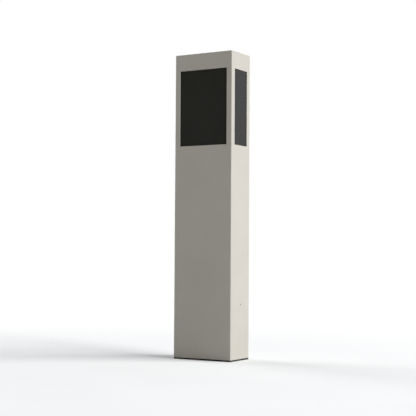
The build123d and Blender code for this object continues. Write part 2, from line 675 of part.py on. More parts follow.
def jog_wire(x0, z0, x1, z1, y):
    """Single wire that leaves straight up, shifts sideways and ends straight."""
    run, bend_r = 22.0, 8.0
    points = [(x0, y, z0), (x0, y, z0 + run), (x1, y, z1 - run), (x1, y, z1)]
    return tube(points, [bend_r, bend_r], WIRE_R)


def pole_places(x_centre, pitch, poles=POLES):
    return [x_centre + (i - (poles - 1) / 2) * pitch for i in range(poles)]


def breaker_x(side):
    return side * (DEVICE_GAP + BREAKER_W / 2)


def contactor_x(side):
    return side * (DEVICE_GAP + CONTACTOR_W / 2)


def feeder_wires():
    """Wires from the isolator to both breakers, and from those to the contactors."""
    half = DEVICE_H / 2
    layer = 7.0
    supply_top = RAIL_Z["supply"] + half
    wires = []
    for side in SIDES.values():
        breaker = pole_places(breaker_x(side), POLE_PITCH)
        contactor = pole_places(contactor_x(side), CONTACTOR_PITCH)
        for x0, x1 in zip(pole_places(0, POLE_PITCH), breaker):
            y = WIRE_Y + side * layer
            wires.append(jog_wire(x0, supply_top, x1, RAIL_Z["protection"] - half, y))
        for x0, x1 in zip(breaker, contactor):
            wires.append(jog_wire(x0, RAIL_Z["protection"] + half, x1, RAIL_Z["switching"] - half, WIRE_Y))
    return group(wires)


# ---- electrical devices -------------------------------------------------
def mounting_plate():
    """Galvanised plate across the shell with folded side flanges."""
    z0, z1 = 430.0, 950.0
    flange_w = 20.0
    sheet = MOUNT_Y1 - MOUNT_Y0
    plate = block(-IN_X, IN_X, MOUNT_Y0, MOUNT_Y1, z0, z1)
    for side in SIDES.values():
        plate += block(side * (IN_X - sheet), side * IN_X, MOUNT_Y0, MOUNT_Y1 + flange_w, z0, z1)
    return plate


def din_rail(z):
    """Top-hat rail, 35 mm high and 7.5 mm deep."""
    sheet, web, lip = 1.0, 12.5, 17.5
    rail = panel((-RAIL_X, RAIL_X, z - web, z + web), MOUNT_Y1, MOUNT_Y1 + sheet)
    for s in (-1, 1):
        inner = z + s * (web - sheet)
        rail += block(-RAIL_X, RAIL_X, MOUNT_Y1, RAIL_FRONT_Y, inner, z + s * web)
        rail += block(-RAIL_X, RAIL_X, RAIL_FRONT_Y - sheet, RAIL_FRONT_Y, inner, z + s * lip)
    return rail


def din_device(x_centre, width, z, poles, pitch):
    """Modular device: a body with a raised nose and its terminal screws."""
    x0, x1 = x_centre - width / 2, x_centre + width / 2
    case = block(x0, x1, RAIL_FRONT_Y, STEP_Y, z - DEVICE_H / 2, z + DEVICE_H / 2)
    case += block(x0, x1, STEP_Y, NOSE_Y, z - NOSE_H / 2, z + NOSE_H / 2)
    for x in pole_places(x_centre, pitch, poles):
        for rise in (-TERMINAL_RISE, TERMINAL_RISE):
            case -= rod_y(x, z + rise, STEP_Y - TERMINAL_DEPTH, STEP_Y + 1, TERMINAL_R)
    return case


def isolator_body():
    z = RAIL_Z["supply"]
    case = din_device(0, BREAKER_W, z, POLES, POLE_PITCH)
    return case - rod_y(0, z, NOSE_Y - 10, NOSE_Y + 1, HANDLE_SHAFT_R + FIT)


def isolator_handle():
    """Rotary handle: shaft, disc and grip bar."""
    z = RAIL_Z["supply"]
    play, disc_y1, grip_y1 = 0.5, NOSE_Y + 6, NOSE_Y + 20
    handle = rod_y(0, z, NOSE_Y - 9, NOSE_Y + 1, HANDLE_SHAFT_R)
    handle += rod_y(0, z, NOSE_Y + play, disc_y1, HANDLE_R)
    grip = block(-4, 4, disc_y1, grip_y1, z - 15, z + 15)
    return handle + fillet(grip.edges().filter_by(Axis.Y), 2.5)


def breaker_body(side):
    """Residual-current breaker with a toggle slot and a test-button pocket."""
    x, z = breaker_x(side), RAIL_Z["protection"]
    case = din_device(x, BREAKER_W, z, POLES, POLE_PITCH)
    case -= block(x - 6, x + 6, TOGGLE_Y - TOGGLE_R - 0.5, NOSE_Y + 1, z - 8, z + 8)
    case -= rod_x(TOGGLE_Y, z, x - 8.5, x + 8.5, TOGGLE_PIVOT_R + FIT)
    pocket = BUTTON_HALF + 0.3
    z_button = z - TEST_BUTTON_DROP
    rect = grown((x, x, z_button, z_button), pocket)
    return case - panel(rect, NOSE_Y - 5, NOSE_Y + 1)


def breaker_toggle(side):
    """Toggle on its pivot, tilted up in the ON position."""
    x, z = breaker_x(side), RAIL_Z["protection"]
    toggle = rod_x(TOGGLE_Y, z, x - 5.7, x + 5.7, TOGGLE_R)
    toggle += rod_x(TOGGLE_Y, z, x - 8, x + 8, TOGGLE_PIVOT_R)
    lever = Rot(TOGGLE_TILT, 0, 0) * block(-4, 4, 4, 19, -1.75, 1.75)
    return toggle + Pos(x, TOGGLE_Y, z) * lever


def test_button(side):
    x, z = breaker_x(side), RAIL_Z["protection"] - TEST_BUTTON_DROP
    return panel(grown((x, x, z, z), BUTTON_HALF), NOSE_Y - 3, NOSE_Y + 2)


def contactor(side):
    x, z = contactor_x(side), RAIL_Z["switching"]
    case = din_device(x, CONTACTOR_W, z, POLES, CONTACTOR_PITCH)
    return case - block(x - 8, x + 8, NOSE_Y - 1, NOSE_Y + 1, z - 6, z + 10)


def energy_meter(side):
    """Meter with a recessed display window."""
    x, z = side * (2 * DEVICE_GAP + CONTACTOR_W + METER_W / 2), RAIL_Z["switching"]
    case = din_device(x, METER_W, z, METER_POLES, METER_PITCH)
    return case - block(x - 20, x + 20, NOSE_Y - 1.2, NOSE_Y + 1, z - 4, z + 14)


def power_supply():
    """Power supply with ventilation grooves across its nose."""
    x, z = BREAKER_W / 2 + DEVICE_GAP + METER_W / 2, RAIL_Z["supply"]
    case = din_device(x, METER_W, z, METER_POLES, METER_PITCH)
    grooves, pitch, groove_h, depth, half = 5, 5.0, 2.0, 1.5, 20.0
    for i in range(grooves):
        z0 = z - 16 + pitch * i
        case -= block(x - half, x + half, NOSE_Y - depth, NOSE_Y + 1, z0, z0 + groove_h)
    return case


def earth_bar():
    """Brass bar on two feet, with a row of clamping screws."""
    x0, x1, z = -118.0, -48.0, RAIL_Z["supply"] - 72
    half_h, foot_half, ways, pitch = 6.0, 5.0, 6, 8.0
    way_r, head_r, head_h = 2.0, 2.6, 3.0
    bar_y0, bar_y1 = MOUNT_Y1 + 12, MOUNT_Y1 + 20
    bar = block(x0, x1, bar_y0, bar_y1, z - half_h, z + half_h)
    for x in (x0 + 6, x1 - 6):
        bar += block(x - foot_half, x + foot_half, MOUNT_Y1, bar_y0, z - half_h, z + half_h)
    for i in range(ways):
        x = x0 + 15 + pitch * i
        bar -= rod_z(x, (bar_y0 + bar_y1) / 2, z - half_h - 1, z + half_h + 1, way_r)
        bar += rod_y(x, z, bar_y1, bar_y1 + head_h, head_r)
    return bar


# ---- the assembly -------------------------------------------------------
def build_foot():
    add("base_gasket", base_gasket())
    add("base_plate", base_plate())
    add("supply_gland", supply_gland())
    add("pedestal_brackets", group([pedestal_bracket(side) for side in SIDES.values()]))
    add("foot_bolts", foot_bolts())


def build_shell():
    add("housing", housing())
    add("shell_screws", group([shell_screw(side) for side in SIDES.values()]))
    add("top_lid", top_lid())
    add("lid_screws", group([lid_screw(x, y) for x, y in lid_screw_places()]))
    add("corner_posts", group([corner_post(sx, sy) for sx in (-1, 1) for sy in (-1, 1)]))


def build_front_window():
    add("front_pane_seal", front_pane_seal())
    add("front_pane", front_pane())
    add("display_module", display_module())
    add("rfid_reader", rfid_reader())
    add("status_light_bar", status_light_bar())
    add("controller_board", controller_board())


def build_rear_door():
    add("rear_frame", rear_frame())
    add("rear_door_seal", rear_door_seal())
    add("rear_hinge_halves", group([rear_hinge_half(z) for z in HINGE_Z]))
    add("rear_door", rear_door())
    add("rear_door_knuckles", group([rear_door_knuckle(z) for z in HINGE_Z]))
    add("rear_lock_body", rear_lock_body())
    add("rear_lock_barrel", rear_lock_barrel())
    add("rear_lock_cam", rear_lock_cam())


def build_bays():
    for name, side in SIDES.items():
        add(f"bay_tub_{name}", bay_tub(side))
        add(f"bay_pane_{name}", bay_pane(side))
        add(f"bay_door_frame_{name}", bay_door_frame(side))
        add(f"bay_door_pins_{name}", bay_door_pins(side))
        add(f"socket_barrel_{name}", socket_barrel(side))
        add(f"socket_core_{name}", socket_core(side))
        add(f"socket_lock_pin_{name}", socket_lock_pin(side))
    add("bay_seals", group([bay_seal(side) for side in SIDES.values()]))
    add("bay_hinge_bushes", bay_hinge_bushes())
    add("socket_flanges", group([socket_flange(side) for side in SIDES.values()]))
    add("socket_contacts", socket_contacts())
    add("socket_screws", socket_screws())
    add("socket_lock_actuators", group([socket_lock_actuator(side) for side in SIDES.values()]))
    add("socket_boots", group([socket_boot(side) for side in SIDES.values()]))
    add("charge_cables", group([charge_cable(side) for side in SIDES.values()]))


def build_cabinet():
    add("mounting_plate", mounting_plate())
    add("din_rails", group([din_rail(z) for z in RAIL_Z.values()]))
    add("isolator_body", isolator_body())
    add("isolator_handle", isolator_handle())
    add("breaker_bodies", group([breaker_body(side) for side in SIDES.values()]))
    for name, side in SIDES.items():
        add(f"breaker_toggle_{name}", breaker_toggle(side))
        add(f"test_button_{name}", test_button(side))
    add("contactors", group([contactor(side) for side in SIDES.values()]))
    add("energy_meters", group([energy_meter(side) for side in SIDES.values()]))
    add("power_supply", power_supply())
    add("earth_bar", earth_bar())
    add("feeder_wires", feeder_wires())


build_foot()
build_shell()
build_front_window()
build_rear_door()
build_bays()
build_cabinet()

os.makedirs("parts", exist_ok=True)
for part_name, part_shape in PARTS.items():
    export_step(part_shape, f"parts/{part_name}.step")
print(len(PARTS), "nodes")
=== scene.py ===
"""Looks of the charging post: materials, added detail, studio and camera. Metres, +Z up, front -Y."""
import json
import math

import bmesh
import bpy
from mathutils import Matrix, Vector


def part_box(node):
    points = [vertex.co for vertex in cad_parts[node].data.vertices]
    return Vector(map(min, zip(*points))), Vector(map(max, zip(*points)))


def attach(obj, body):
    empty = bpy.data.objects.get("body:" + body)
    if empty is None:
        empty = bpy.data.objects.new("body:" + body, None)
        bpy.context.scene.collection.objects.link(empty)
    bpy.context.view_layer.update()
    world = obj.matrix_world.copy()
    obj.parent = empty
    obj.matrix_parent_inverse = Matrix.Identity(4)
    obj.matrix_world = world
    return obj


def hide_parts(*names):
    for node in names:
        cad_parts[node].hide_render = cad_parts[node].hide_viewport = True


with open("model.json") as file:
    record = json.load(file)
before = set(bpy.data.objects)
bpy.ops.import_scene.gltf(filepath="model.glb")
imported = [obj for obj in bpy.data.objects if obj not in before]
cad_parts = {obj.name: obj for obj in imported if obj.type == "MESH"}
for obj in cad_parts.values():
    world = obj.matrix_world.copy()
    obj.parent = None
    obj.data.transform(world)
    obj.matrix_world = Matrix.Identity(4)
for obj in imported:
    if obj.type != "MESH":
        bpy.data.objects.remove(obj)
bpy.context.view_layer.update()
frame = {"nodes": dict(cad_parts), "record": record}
scene = bpy.context.scene
scene.view_settings.view_transform = "Standard"

NODES = frame["nodes"]

# ---- camera -------------------------------------------------------------
LENS_MM, SENSOR_MM = 94.96, 36.0
CAMERA_AT = (2.5852, -4.3538, 0.4828)
CAMERA_YAW, CAMERA_PITCH, CAMERA_ROLL = -30.910, 2.381, 0.354    # degrees
FAR_CLIP = 200.0


def make_camera():
    """Long lens at hip height, front right of the post, looking slightly up."""
    data = bpy.data.cameras.new("camera")
    data.lens = LENS_MM
    data.sensor_width = SENSOR_MM
    data.clip_end = FAR_CLIP
    cam = bpy.data.objects.new("camera", data)
    scene.collection.objects.link(cam)
    yaw, pitch, roll = (math.radians(a) for a in (CAMERA_YAW, CAMERA_PITCH, CAMERA_ROLL))
    level = Vector((math.cos(yaw), -math.sin(yaw), 0))
    heading = Vector((math.sin(yaw), math.cos(yaw), 0))
    forward = heading * math.cos(pitch) + Vector((0, 0, math.sin(pitch)))
    up = level.cross(forward)
    right = level * math.cos(roll) + up * math.sin(roll)
    up = up * math.cos(roll) - level * math.sin(roll)
    turn = Matrix((right, up, -forward)).transposed().to_4x4()
    cam.matrix_world = Matrix.Translation(CAMERA_AT) @ turn
    scene.camera = cam


make_camera()


# ---- material tools: noise scales are per metre, depths in metres -------
class Surface:
    """A Principled material with short calls for its nodes."""

    def __init__(self, name, roughness=0.5, metallic=0.0, specular=0.5):
        self.mat = bpy.data.materials.new(name)
        self.mat.use_nodes = True
        self.nodes = self.mat.node_tree.nodes
        self.links = self.mat.node_tree.links
        self.shader = self.nodes["Principled BSDF"]
        self.shader.inputs["Roughness"].default_value = roughness
        self.shader.inputs["Metallic"].default_value = metallic
        self.shader.inputs["Specular IOR Level"].default_value = specular
        self.coords = self.nodes.new("ShaderNodeTexCoord").outputs["Object"]

    def node(self, kind, **values):
        made = self.nodes.new(kind)
        for key, value in values.items():
            setattr(made, key, value)
        return made

    def join(self, out, socket):
        self.links.new(out, socket)

    def stretched(self, scale):
        """Object coordinates scaled along each axis."""
        mapping = self.node("ShaderNodeMapping")
        mapping.inputs["Scale"].default_value = scale
        self.join(self.coords, mapping.inputs["Vector"])
        return mapping.outputs["Vector"]

    def noise(self, scale, detail=3.0, roughness=0.5, vector=None):
        tex = self.node("ShaderNodeTexNoise")
        tex.inputs["Scale"].default_value = scale
        tex.inputs["Detail"].default_value = detail
        tex.inputs["Roughness"].default_value = roughness
        self.join(vector or self.coords, tex.inputs["Vector"])
        return tex.outputs["Fac"]

    def cells(self, scale):
        """Random cells, each a colour of its own."""
        tex = self.node("ShaderNodeTexVoronoi")
        tex.inputs["Scale"].default_value = scale
        self.join(self.coords, tex.inputs["Vector"])
        return tex.outputs["Color"]

    def ramp(self, value, low, high, to=(0.0, 1.0)):
        """Remaps low..high to a new range, clamped."""
        node = self.node("ShaderNodeMapRange")
        self.join(value, node.inputs["Value"])
        for key, number in zip(("From Min", "From Max", "To Min", "To Max"), (low, high, *to)):
            node.inputs[key].default_value = number
        return node.outputs["Result"]

    def times(self, a, b):
        """The product of two values; each is a number or an output."""
        node = self.node("ShaderNodeMath", operation="MULTIPLY")
        for socket, value in zip(node.inputs, (a, b)):
            if isinstance(value, (int, float)):
                socket.default_value = value
            else:
                self.join(value, socket)
        return node.outputs[0]

    def mix(self, factor, a, b):
        """Mixes two colours; each is an (r, g, b) or an output."""
        node = self.node("ShaderNodeMix", data_type="RGBA")
        self.join(factor, node.inputs["Factor"])
        first, second, mixed = node.inputs[6], node.inputs[7], node.outputs[2]    # the colour sockets
        for socket, value in ((first, a), (second, b)):
            if isinstance(value, tuple):
                socket.default_value = (*value, 1.0)
            else:
                self.join(value, socket)
        return mixed

    def axis(self, name):
        """One of the object coordinates."""
        split = self.node("ShaderNodeSeparateXYZ")
        self.join(self.coords, split.inputs[0])
        return split.outputs[name]

    def edges(self, radius):
        """0 on flat faces, rising to 1 along sharp edges."""
        bevel = self.node("ShaderNodeBevel", samples=4)
        bevel.inputs["Radius"].default_value = radius
        geometry = self.node("ShaderNodeNewGeometry")
        dot = self.node("ShaderNodeVectorMath", operation="DOT_PRODUCT")
        self.join(bevel.outputs["Normal"], dot.inputs[0])
        self.join(geometry.outputs["True Normal"], dot.inputs[1])
        return self.ramp(dot.outputs["Value"], 0.995, 0.80)

    def colour(self, out):
        self.join(out, self.shader.inputs["Base Color"])

    def rough(self, out):
        self.join(out, self.shader.inputs["Roughness"])

    def bump(self, *layers):
        """Each layer is (height output, depth in metres), largest first."""
        normal = None
        for height, depth in layers:
            node = self.node("ShaderNodeBump")
            node.inputs["Strength"].default_value = 1.0
            node.inputs["Distance"].default_value = depth
            self.join(height, node.inputs["Height"])
            if normal:
                self.join(normal, node.inputs["Normal"])
            normal = node.outputs["Normal"]
        self.join(normal, self.shader.inputs["Normal"])


def powder_coat(name, tint, dust=True):
    """Fine-textured powder coat with faint cloudiness, dust at the foot, and lighter edges that are part
    wear, part painted highlight.
    """
    s = Surface(name, roughness=0.55, specular=0.4)
    cloud = s.ramp(s.noise(3.5, 4, 0.6), 0.35, 0.65)
    light = tuple(c * 1.03 for c in tint)
    dark = tuple(c * 0.97 for c in tint)
    base = s.mix(cloud, dark, light)
    speck = s.ramp(s.noise(900, 2), 0.62, 0.72, (0.0, 0.25))
    base = s.mix(speck, base, tuple(c * 0.82 for c in tint))
    if dust:
        height = s.ramp(s.axis("Z"), 0.16, 0.0)
        splash = s.ramp(s.noise(28, 5, 0.65), 0.42, 0.72)
        splash = s.times(s.times(height, splash), 0.10)
        base = s.mix(splash, base, (0.30, 0.27, 0.22))
    # lighter along every edge: part edge wear, part painted highlight
    worn_and_highlight = s.times(s.edges(0.0012), s.ramp(s.noise(60, 4), 0.4, 0.7, (0.1, 0.6)))
    base = s.mix(worn_and_highlight, base, tuple(min(1.0, c * 1.22) for c in tint))
    s.colour(base)
    s.rough(s.ramp(s.noise(140, 3), 0.3, 0.7, (0.46, 0.62)))
    s.bump((s.noise(11, 2), 0.00025), (s.noise(1100, 2, 0.4), 0.00003))
    return s.mat


def smoked_glazing(name):
    """Near-black smoked polycarbonate, polished, with faint wipe marks."""
    s = Surface(name, roughness=0.12, specular=0.35)
    s.colour(s.mix(s.ramp(s.noise(5, 3), 0.35, 0.65), (0.0275, 0.0272, 0.0235), (0.0315, 0.0312, 0.0272)))
    wipe = s.noise(14, 4, 0.55, s.stretched((1.0, 1.0, 0.35)))
    s.rough(s.ramp(wipe, 0.3, 0.75, (0.09, 0.20)))
    s.bump((s.noise(4, 1), 0.00012))
    return s.mat


def rubber(name, tint=(0.012, 0.012, 0.012)):
    """Matt moulded rubber with a little chalky bloom and ground dust."""
    s = Surface(name, roughness=0.8, specular=0.3)
    bloom = s.ramp(s.noise(45, 5, 0.65), 0.5, 0.8, (0.0, 0.35))
    s.colour(s.mix(bloom, tint, tuple(c * 2.2 + 0.01 for c in tint)))
    s.rough(s.ramp(s.noise(200, 3), 0.3, 0.7, (0.68, 0.88)))
    s.bump((s.noise(700, 3), 0.00005))
    return s.mat


def galvanised(name):
    """Hot-dip zinc: overlapping spangles of slightly different grey."""
    s = Surface(name, roughness=0.45, metallic=1.0)
    grey = s.node("ShaderNodeRGBToBW")
    s.join(s.cells(120), grey.inputs[0])
    tone = s.ramp(grey.outputs[0], 0.2, 0.8)
    base = s.mix(tone, (0.40, 0.41, 0.42), (0.60, 0.61, 0.63))
    stain = s.ramp(s.noise(22, 5, 0.6), 0.55, 0.75, (0.0, 0.4))
    s.colour(s.mix(stain, base, (0.66, 0.66, 0.65)))
    s.rough(s.ramp(grey.outputs[0], 0.2, 0.8, (0.34, 0.56)))
    s.bump((s.noise(260, 3), 0.00004))
    return s.mat


def brushed_steel(name, tint, along=(1.0, 1.0, 0.04), roughness=0.3):
    """Satin steel with fine scratches along one axis."""
    s = Surface(name, roughness=roughness, metallic=1.0)
    hair = s.noise(2600, 3, 0.6, s.stretched(along))
    s.colour(s.mix(s.ramp(hair, 0.3, 0.7), tuple(c * 0.85 for c in tint), tint))
    s.rough(s.ramp(hair, 0.25, 0.75, (roughness - 0.08, roughness + 0.14)))
    s.bump((hair, 0.00002))
    return s.mat


def moulded(name, tint, roughness=0.55, grain=900.0, depth=0.00005):
    """Moulded plastic with spark-eroded texture, slight tone drift, and lighter edges that are part rub wear,
    part painted highlight.
    """
    s = Surface(name, roughness=roughness, specular=0.45)
    drift = s.ramp(s.noise(24, 3), 0.35, 0.65)
    base = s.mix(drift, tuple(c * 0.92 for c in tint), tuple(c * 1.06 for c in tint))
    # lighter along every edge: part rubbed wear, part painted highlight
    rub_and_highlight = s.times(s.edges(0.0006), s.ramp(s.noise(130, 3), 0.35, 0.7, (0.05, 0.45)))
    s.colour(s.mix(rub_and_highlight, base, tuple(min(1.0, c * 1.35 + 0.02) for c in tint)))
    s.rough(s.ramp(s.noise(160, 3), 0.3, 0.7, (roughness - 0.07, roughness + 0.10)))
    s.bump((s.noise(grain, 2), depth))
    return s.mat


def machined_brass(name, tint):
    s = Surface(name, roughness=0.3, metallic=1.0)
    tarnish = s.ramp(s.noise(90, 5, 0.6), 0.45, 0.75, (0.0, 0.6))
    s.colour(s.mix(tarnish, tint, tuple(c * 0.55 for c in tint)))
    s.rough(s.ramp(s.noise(300, 3), 0.3, 0.7, (0.22, 0.42)))
    s.bump((s.noise(1500, 2, 0.5, s.stretched((0.1, 1.0, 1.0))), 0.00002))
    return s.mat


BOARD_T = 0.0016
BOARD_FACE_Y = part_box("controller_board")[0].y + BOARD_T    # the side with the components


def circuit_board(name):
    """Green solder mask with copper tracks showing through, and dark parts."""
    s = Surface(name, roughness=0.35, specular=0.5)
    grid = s.node("ShaderNodeTexBrick", offset=0.5)
    grid.inputs["Scale"].default_value = 90
    grid.inputs["Mortar Size"].default_value = 0.06
    grid.inputs["Brick Width"].default_value = 0.9
    grid.inputs["Row Height"].default_value = 0.25
    s.join(s.stretched((1.0, 0.0, 1.0)), grid.inputs["Vector"])
    base = s.mix(grid.outputs["Fac"], (0.010, 0.085, 0.035), (0.022, 0.15, 0.06))
    patch = s.ramp(s.noise(30, 2), 0.48, 0.52)
    base = s.mix(patch, base, (0.012, 0.10, 0.04))
    raised = s.ramp(s.axis("Y"), BOARD_FACE_Y + 0.0006, BOARD_FACE_Y + 0.0010)
    s.colour(s.mix(raised, base, (0.018, 0.018, 0.02)))
    s.rough(s.ramp(s.noise(150, 3), 0.3, 0.7, (0.28, 0.5)))
    s.bump((grid.outputs["Fac"], 0.00004))
    return s.mat


def light_guide(name):
    s = Surface(name, roughness=0.25, specular=0.5)
    s.colour(s.mix(s.ramp(s.noise(120, 3), 0.3, 0.7), (0.72, 0.76, 0.74), (0.84, 0.88, 0.86)))
    s.rough(s.ramp(s.noise(400, 2), 0.3, 0.7, (0.18, 0.36)))
    s.shader.inputs["Subsurface Weight"].default_value = 0.2
    s.shader.inputs["Subsurface Scale"].default_value = 0.004
    return s.mat


SHELL_TINT = (0.463, 0.437, 0.383)
MATERIALS = {
    "painted_shell": powder_coat("painted_shell", SHELL_TINT),
    "black_seal": rubber("black_seal"),
    "galvanised": galvanised("galvanised"),
    "stainless": brushed_steel("stainless", (0.62, 0.62, 0.61)),
    "dark_screw": brushed_steel("dark_screw", (0.022, 0.022, 0.023), roughness=0.5),
    "smoked_pane": smoked_glazing("smoked_pane"),
    "black_moulding": moulded("black_moulding", (0.022, 0.022, 0.024)),
    "device_grey": moulded("device_grey", (0.60, 0.61, 0.60), 0.42, 1200.0, 0.00002),
    "test_blue": moulded("test_blue", (0.03, 0.10, 0.42), 0.35),
    "brass": machined_brass("brass", (0.80, 0.60, 0.26)),
    "bush_bronze": machined_brass("bush_bronze", (0.55, 0.36, 0.18)),
    "circuit_board": circuit_board("circuit_board"),
    "light_guide": light_guide("light_guide"),
    "cable_sheath": rubber("cable_sheath", (0.016, 0.016, 0.017)),
}
# finishes of the small pieces that only this script adds
EXTRA = {
    "label": moulded("label", (0.78, 0.78, 0.75), 0.45, 1500.0, 0.00001),
    "plate": brushed_steel("plate", (0.55, 0.55, 0.54), along=(0.02, 1.0, 1.0), roughness=0.45),
    "duct": moulded("duct", (0.42, 0.43, 0.43), 0.6),
    "lcd": moulded("lcd", (0.22, 0.27, 0.20), 0.22, 2000.0, 0.000005),
    "lamp_green": moulded("lamp_green", (0.05, 0.42, 0.12), 0.2, 2000.0, 0.000005),
    "lamp_red": moulded("lamp_red", (0.50, 0.03, 0.02), 0.2, 2000.0, 0.000005),
    "wire_brown": moulded("wire_brown", (0.10, 0.040, 0.018), 0.4),
    "wire_black": moulded("wire_black", (0.014, 0.014, 0.015), 0.4),
    "wire_grey": moulded("wire_grey", (0.22, 0.22, 0.22), 0.4),
    "wire_blue": moulded("wire_blue", (0.02, 0.09, 0.36), 0.4),
}


def dress_nodes():
    """Gives every CAD node the material of its slot in the record."""
    for row in frame["record"]["subparts"]:
        mesh = NODES[row["node"]].data
        mesh.materials.clear()
        mesh.materials.append(MATERIALS[row["material_slot"]])


dress_nodes()


# ---- mesh tools: lengths in millimetres, as in the CAD ------------------
MM = 0.001


def slab(bm, x, y, z, soft=0.3):
    """A block between x, y and z spans, with softened edges."""
    made = bmesh.ops.create_cube(bm, size=1.0)["verts"]
    for vert in made:
        for axis, (low, high) in enumerate((x, y, z)):
            low, high = sorted((low, high))
            vert.co[axis] = MM * (low if vert.co[axis] < 0 else high)
    edges = list({edge for vert in made for edge in vert.link_edges})
    bmesh.ops.bevel(bm, geom=edges, offset=soft * MM, segments=2, affect="EDGES", profile=0.5)


def turned(bm, centre, axis, profile, steps=32):
    """A shape turned on an axis. The profile is (radius, distance along the axis) from the centre."""
    turn = Vector((0, 0, 1)).rotation_difference(Vector(axis)).to_matrix()
    centre = Vector(centre)
    rings = []
    for radius, along in profile:
        ring = []
        for i in range(steps):
            angle = 2 * math.pi * i / steps
            point = Vector((radius * math.cos(angle), radius * math.sin(angle), along))
            ring.append(bm.verts.new(MM * (centre + turn @ point)))
        rings.append(ring)
    for lower, upper in zip(rings, rings[1:]):
        for i in range(steps):
            j = (i + 1) % steps
            bm.faces.new((lower[i], lower[j], upper[j], upper[i]))
    return rings


def capped(bm, centre, axis, profile, steps=32):
    """A turned shape with both ends closed."""
    rings = turned(bm, centre, axis, profile, steps)
    bm.faces.new(reversed(rings[0]))
    bm.faces.new(rings[-1])


def looped(bm, centre, axis, profile, steps=40):
    """A turned ring: the profile closes on itself."""
    rings = turned(bm, centre, axis, profile + profile[:1], steps)
    bmesh.ops.remove_doubles(bm, verts=[v for ring in (rings[0], rings[-1]) for v in ring], dist=1e-7)


def place(name, bm, body, slot, material=None):
    """Turns the finished mesh into a piece that rides on a body."""
    bmesh.ops.recalc_face_normals(bm, faces=bm.faces)
    mesh = bpy.data.meshes.new(name)
    bm.to_mesh(mesh)
    bm.free()
    piece = bpy.data.objects.new(name, mesh)
    scene.collection.objects.link(piece)
    mesh.materials.append(material or MATERIALS[slot])
    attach(piece, body)
    return piece


def lead(name, points, radius, body, material):
    """A round wire along one smooth curve through the CAD route's points."""
    curve = bpy.data.curves.new(name, "CURVE")
    curve.dimensions = "3D"
    curve.bevel_depth = radius * MM
    curve.bevel_resolution = 4
    curve.resolution_u = 12
    curve.use_fill_caps = True
    spline = curve.splines.new("NURBS")
    spline.points.add(len(points) - 1)
    for point, (x, y, z) in zip(spline.points, points):
        point.co = (x * MM, y * MM, z * MM, 1.0)
    spline.order_u = 3
    spline.use_endpoint_u = True
    curve.materials.append(material)
    piece = bpy.data.objects.new(name, curve)
    scene.collection.objects.link(piece)
    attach(piece, body)
    return piece


# ---- places from the CAD nodes, mm --------------------------------------
X, Y, Z = range(3)


def lowest(node, axis):
    """Lowest coordinate of a CAD node, to a tenth of a millimetre."""
    return round(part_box(node)[0][axis] / MM, 1)


def highest(node, axis):
    return round(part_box(node)[1][axis] / MM, 1)


def middle(node, axis):
    return (lowest(node, axis) + highest(node, axis)) / 2


SIDES = (("right", 1), ("left", -1))

REAR_Y = highest("rear_door", Y)            # outer face of the rear door
DOOR_IN_Y = REAR_Y - 3.0
LOCK_X, LOCK_Z = middle("rear_lock_body", X), middle("rear_lock_body", Z)
VENTS = (("lower", 150.0), ("upper", 880.0))    # bottom of each group of slots
VENT_HALF, VENT_H = 45.0, 57.0

SOCKET_FACE_X = highest("socket_flanges", X)
SOCKET_Y, SOCKET_Z = middle("socket_flanges", Y), middle("socket_flanges", Z)
TUB_T, LEDGE = 3.0, 6.0                  # the tub's wall, and its step round the mouth
BAY_BACK_X = lowest("bay_tub_right", X) + TUB_T
BAY_FRONT_Y = lowest("bay_tub_right", Y) + TUB_T + LEDGE
BAY_FLOOR_Z = lowest("bay_tub_right", Z) + TUB_T + LEDGE
BAY_CEILING_Z = highest("bay_tub_right", Z) - TUB_T - LEDGE

# the three rails, from the devices that hang on them
SWITCHING_Z = middle("isolator_body", Z)
PROTECTION_Z = middle("breaker_bodies", Z)
METERING_Z = middle("contactors", Z)
WIDE_W, CONTACTOR_W, METER_W = 72.0, 45.0, 54.0
WIDE_PITCH, CONTACTOR_PITCH, METER_PITCH = 18.0, 11.0, 15.0
BREAKER_X = highest("breaker_bodies", X) - WIDE_W / 2
CONTACTOR_X = highest("contactors", X) - CONTACTOR_W / 2
METER_X = highest("energy_meters", X) - METER_W / 2
SUPPLY_X = middle("power_supply", X)
DEVICE_HALF_H = highest("isolator_body", Z) - SWITCHING_Z
NOSE_Y = highest("isolator_body", Y)
STEP_Y = NOSE_Y - 16.0                   # the face that holds the terminals
WIRE_Y, WIRE_R = middle("feeder_wires", Y), 2.0


def around(centre, half):
    return centre - half, centre + half


def mirrored(side, low, high):
    return side * low, side * high


# ---- rear door details --------------------------------------------------
def lock_escutcheon():
    """Moulded ring round the lock's face."""
    inner, outer, height = 7.7, 9.6, 1.1
    profile = [(inner, 0.0), (outer, 0.0), (outer, 0.5)]
    profile += [(outer - 0.6, height), (inner + 0.3, height), (inner, 0.8)]
    bm = bmesh.new()
    looped(bm, (LOCK_X, REAR_Y, LOCK_Z), (0, 1, 0), profile)
    place("lock_escutcheon", bm, "rear_door", "black_moulding")


def vent_screen(name, bottom):
    """Woven insect screen in a frame, behind one group of vent slots."""
    margin, border, pitch, wire = 6.0, 5.0, 2.2, 0.3
    x_half, z0, z1 = VENT_HALF + margin, bottom - margin, bottom + VENT_H + margin
    frame_y = (DOOR_IN_Y - 1.6, DOOR_IN_Y)
    upright_y = (DOOR_IN_Y - 0.8, DOOR_IN_Y - 0.5)
    cross_y = (DOOR_IN_Y - 0.6, DOOR_IN_Y - 0.3)
    bm = bmesh.new()
    for x in ((-x_half - border, -x_half), (x_half, x_half + border)):
        slab(bm, x, frame_y, (z0 - border, z1 + border))
    for z in ((z0 - border, z0), (z1, z1 + border)):
        slab(bm, (-x_half, x_half), frame_y, z)
    for i in range(int(2 * x_half / pitch) + 1):
        x = -x_half + i * pitch
        slab(bm, (x, x + wire), upright_y, (z0, z1), 0.05)
    for i in range(int((z1 - z0) / pitch) + 1):
        z = z0 + i * pitch
        slab(bm, (-x_half, x_half), cross_y, (z, z + wire), 0.05)
    place(f"vent_screen_{name}", bm, "rear_door", "stainless")


